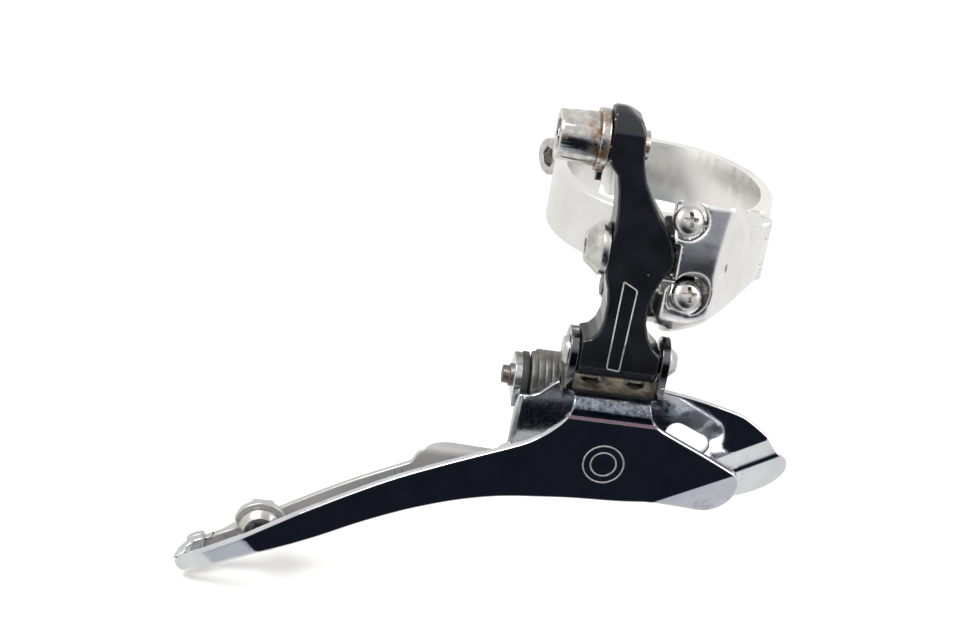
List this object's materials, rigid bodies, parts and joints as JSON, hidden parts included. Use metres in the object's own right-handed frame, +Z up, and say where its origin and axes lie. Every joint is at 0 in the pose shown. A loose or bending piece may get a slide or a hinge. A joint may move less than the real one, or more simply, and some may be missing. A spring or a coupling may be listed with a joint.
{
  "type": "front derailleur",
  "caption": "Band-on front derailleur: hinged seat-tube clamp, black cable arm, sprung parallelogram and a long chromed cage with outer and inner plates.",
  "frame": {"origin": "centre of the seat tube bore, halfway up the band", "axes": "+Z up along the seat tube, +X to the front of the bicycle, +Y inboard, so the outer plate faces -Y"},
  "size_m": [0.105, 0.0681, 0.0952],
  "materials": {
    "body_alloy": "polished cast alloy",
    "band_alloy": "satin polished alloy",
    "black_paint": "gloss black over forged alloy, edges rubbed bright",
    "cage_chrome": "chrome-plated pressed steel",
    "steel": "plated steel, lightly worn",
    "pin_steel": "oiled steel",
    "anchor_steel": "plated steel with rust specks",
    "spring_steel": "grey oiled spring wire",
    "bush": "black plastic"
  },
  "bodies": {
    "clamp": {"clamp_body": "body_alloy", "hinge_pin": "pin_steel", "clamp_bolt_washer": "steel", "outer_pivot_screw": "steel", "inner_pivot_pin": "pin_steel", "inner_pivot_clip": "pin_steel"},
    "band": {"clamp_band": "band_alloy", "clamp_nut": "steel"},
    "clamp_bolt": {"clamp_bolt": "steel"},
    "low_screw": {"low_limit_screw": "steel"},
    "high_screw": {"high_limit_screw": "steel"},
    "outer_link": {"outer_link": "black_paint", "cable_anchor_washer": "anchor_steel"},
    "anchor_bolt": {"cable_anchor_bolt": "anchor_steel"},
    "inner_link": {"inner_link": "band_alloy"},
    "cage": {"outer_cage_plate": "cage_chrome", "inner_cage_plate": "cage_chrome", "lower_outer_pin": "steel", "lower_inner_pin": "pin_steel", "return_spring": "spring_steel", "spring_bush": "bush", "bridge_rivet_rear": "pin_steel", "bridge_rivet_front": "pin_steel", "tail_screw": "steel", "tail_nut": "steel"}
  },
  "joints": [
    {"name": "link_swing", "type": "hinge", "parent": "clamp", "child": "outer_link", "pos_m": [0, -0.0315, 0.0034], "axis": [-1, 0, 0], "range_deg": [0, 33], "stiffness_Nm_per_rad": 0.5, "springref_deg": -22.92},
    {"name": "inner_link_swing", "type": "hinge", "parent": "clamp", "child": "inner_link", "pos_m": [0, -0.0216, -0.0074], "axis": [-1, 0, 0], "range_deg": [0, 33]},
    {"name": "cage_level", "type": "hinge", "parent": "outer_link", "child": "cage", "pos_m": [0, -0.0314, -0.016], "axis": [-1, 0, 0], "range_deg": [-33, 0]},
    {"name": "band_spread", "type": "hinge", "parent": "clamp", "child": "band", "pos_m": [0.01516, -0.01365, 0], "axis": [0, 0, -1], "range_deg": [0, 3]},
    {"name": "clamp_bolt_turn", "type": "hinge", "parent": "clamp", "child": "clamp_bolt", "pos_m": [-0.01043, 0.02139, 0], "axis": [-0.8988, -0.4384, 0], "continuous": true},
    {"name": "low_screw_turn", "type": "hinge", "parent": "clamp", "child": "low_screw", "pos_m": [-0.0006, -0.0357, 0.0121], "axis": [0.1801, -0.8471, 0.5], "continuous": true},
    {"name": "high_screw_turn", "type": "hinge", "parent": "clamp", "child": "high_screw", "pos_m": [0.0014, -0.037, -0.0007], "axis": [0.1801, -0.8471, 0.5], "continuous": true},
    {"name": "anchor_bolt_turn", "type": "hinge", "parent": "outer_link", "child": "anchor_bolt", "pos_m": [-0.0242, -0.029, 0.0215], "axis": [-1, 0, 0], "continuous": true}
  ],
  "couplings": [
    {"joint": "inner_link_swing", "follows": "link_swing", "ratio": 1},
    {"joint": "cage_level", "follows": "link_swing", "ratio": -1}
  ]
}
